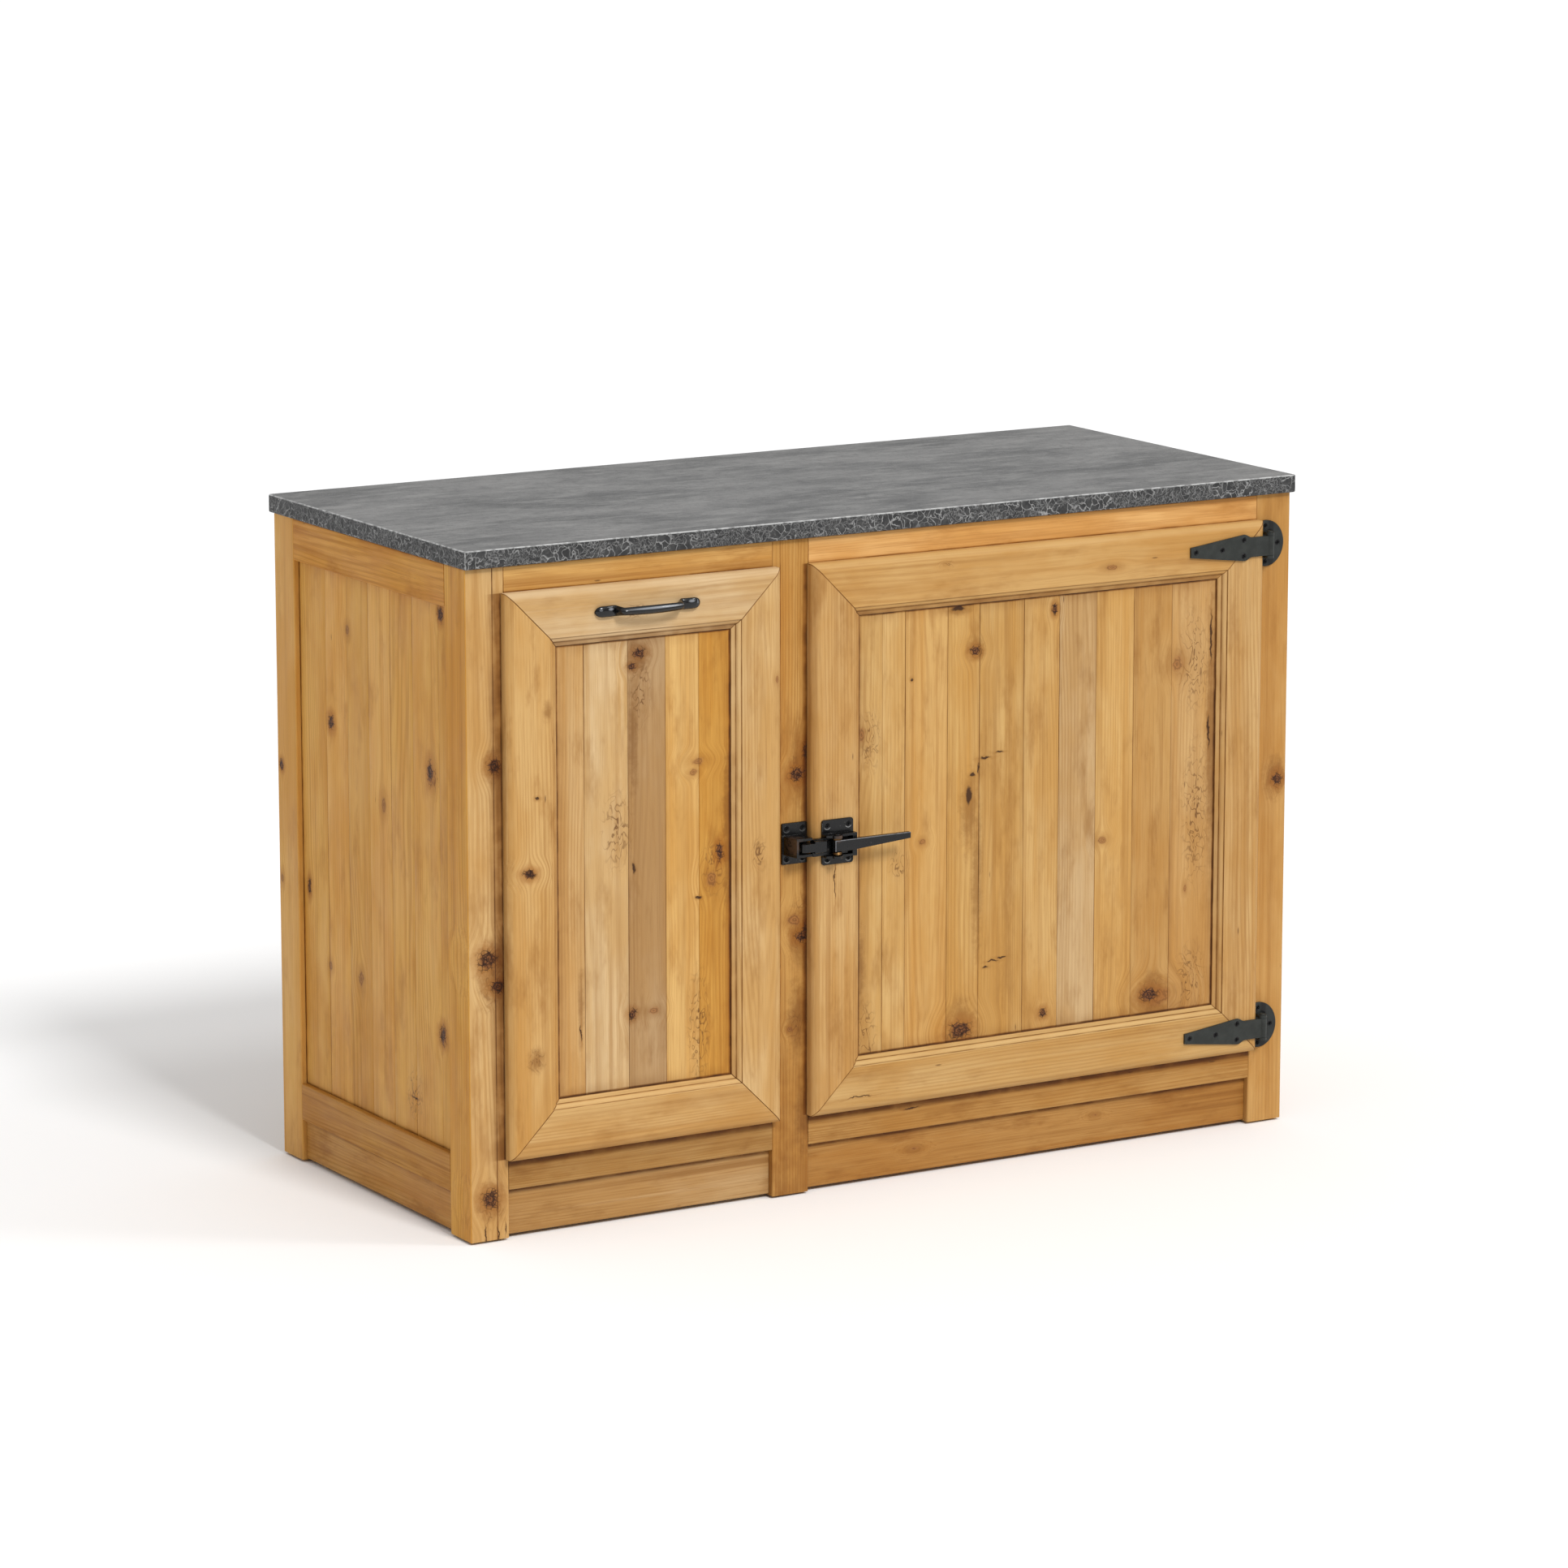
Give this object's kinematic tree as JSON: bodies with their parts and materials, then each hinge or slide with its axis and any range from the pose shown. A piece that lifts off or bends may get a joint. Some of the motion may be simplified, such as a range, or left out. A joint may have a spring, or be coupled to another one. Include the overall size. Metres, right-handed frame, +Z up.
{
  "type": "kitchen base cabinet",
  "caption": "Kitchen base cabinet in reclaimed pine with a stone worktop, a framed pull-out front beside a framed door on strap hinges, and a lever latch.",
  "frame": {"origin": "middle of the cabinet's bounding box, on the floor", "axes": "+Z up, +Y from the front to the back, +X to the right of someone facing the front"},
  "size_m": [1.27, 0.591, 0.9],
  "materials": {
    "stone": "satin",
    "pine_panel_boards": "satin",
    "pine_side_boards": "satin",
    "pine_front_frames": "satin",
    "pine_posts": "satin",
    "pine_rails": "satin",
    "plain_pine_inside": "matte",
    "zinc_steel": "satin",
    "black_iron": "gloss",
    "worn_black_iron": "satin",
    "dark_steel": "matte",
    "bronze": "satin",
    "glide_plastic": "matte"
  },
  "bodies": {
    "cabinet": {"back_panel": "plain_pine_inside", "back_rails": "pine_rails", "bottom_rail_front_left": "pine_rails", "bottom_rail_front_right": "pine_rails", "bottom_rail_side_left": "pine_rails", "bottom_rail_side_right": "pine_rails", "floor_bearers": "plain_pine_inside", "floor_glides": "glide_plastic", "floor_panel": "plain_pine_inside", "hinge_pins": "dark_steel", "hinge_plates": "dark_steel", "latch_keeper": "worn_black_iron", "partition": "plain_pine_inside", "plinth_front_left": "pine_rails", "plinth_front_right": "pine_rails", "plinths_side": "pine_rails", "post_back_left": "pine_posts", "post_back_right": "pine_posts", "post_front_centre": "pine_posts", "post_front_left": "pine_posts", "post_front_right": "pine_posts", "post_hardware_screws": "dark_steel", "runner_batten": "plain_pine_inside", "runner_outer": "zinc_steel", "shelf": "plain_pine_inside", "shelf_pins": "zinc_steel", "side_boards_left": "pine_side_boards", "side_boards_right": "pine_side_boards", "top_rail_front_left": "pine_rails", "top_rail_front_right": "pine_rails", "top_rail_side_left": "pine_rails", "top_rail_side_right": "pine_rails", "worktop": "stone"},
    "door": {"door_stile_left": "pine_front_frames", "door_stile_right": "pine_front_frames", "door_rail_top": "pine_front_frames", "door_rail_bottom": "pine_front_frames", "door_boards": "pine_panel_boards", "hinge_straps": "dark_steel", "door_hardware_screws": "dark_steel", "latch_base": "worn_black_iron", "latch_pin": "worn_black_iron", "latch_washer": "bronze", "latch_spring": "bronze"},
    "lever": {"latch_lever": "worn_black_iron"},
    "bolt": {"latch_bolt": "worn_black_iron"},
    "pullout": {"pullout_stile_left": "pine_front_frames", "pullout_stile_right": "pine_front_frames", "pullout_rail_top": "pine_front_frames", "pullout_rail_bottom": "pine_front_frames", "pullout_boards": "pine_panel_boards", "pull_handle": "black_iron", "handle_screws": "zinc_steel", "box_sides": "plain_pine_inside", "box_ends": "plain_pine_inside", "box_bottom": "plain_pine_inside", "front_brackets": "zinc_steel", "runner_inner": "zinc_steel"},
    "runner_slides": {"runner_middle": "zinc_steel"}
  },
  "joints": [
    {"name": "door_hinge", "type": "hinge", "parent": "cabinet", "child": "door", "pos_m": [0.586, -0.2703, 0.473], "axis": [0, 0, 1], "range_deg": [0, 170]},
    {"name": "latch_lever_pivot", "type": "hinge", "parent": "door", "child": "lever", "pos_m": [-0.107, -0.2885, 0.4735], "axis": [0, 0, -1], "range_deg": [0, 40], "stiffness_Nm_per_rad": 0.02},
    {"name": "latch_bolt_slide", "type": "slide", "parent": "door", "child": "bolt", "axis": [1, 0, 0], "range_m": [0, 0.005]},
    {"name": "pullout_slide", "type": "slide", "parent": "cabinet", "child": "pullout", "axis": [0, -1, 0], "range_m": [0, 0.42]},
    {"name": "runner_slide", "type": "slide", "parent": "cabinet", "child": "runner_slides", "axis": [0, -1, 0], "range_m": [0, 0.21]}
  ],
  "couplings": [
    {"joint": "latch_bolt_slide", "follows": "latch_lever_pivot", "m_per_rad": 0.00702},
    {"joint": "runner_slide", "follows": "pullout_slide", "ratio": 0.5}
  ]
}
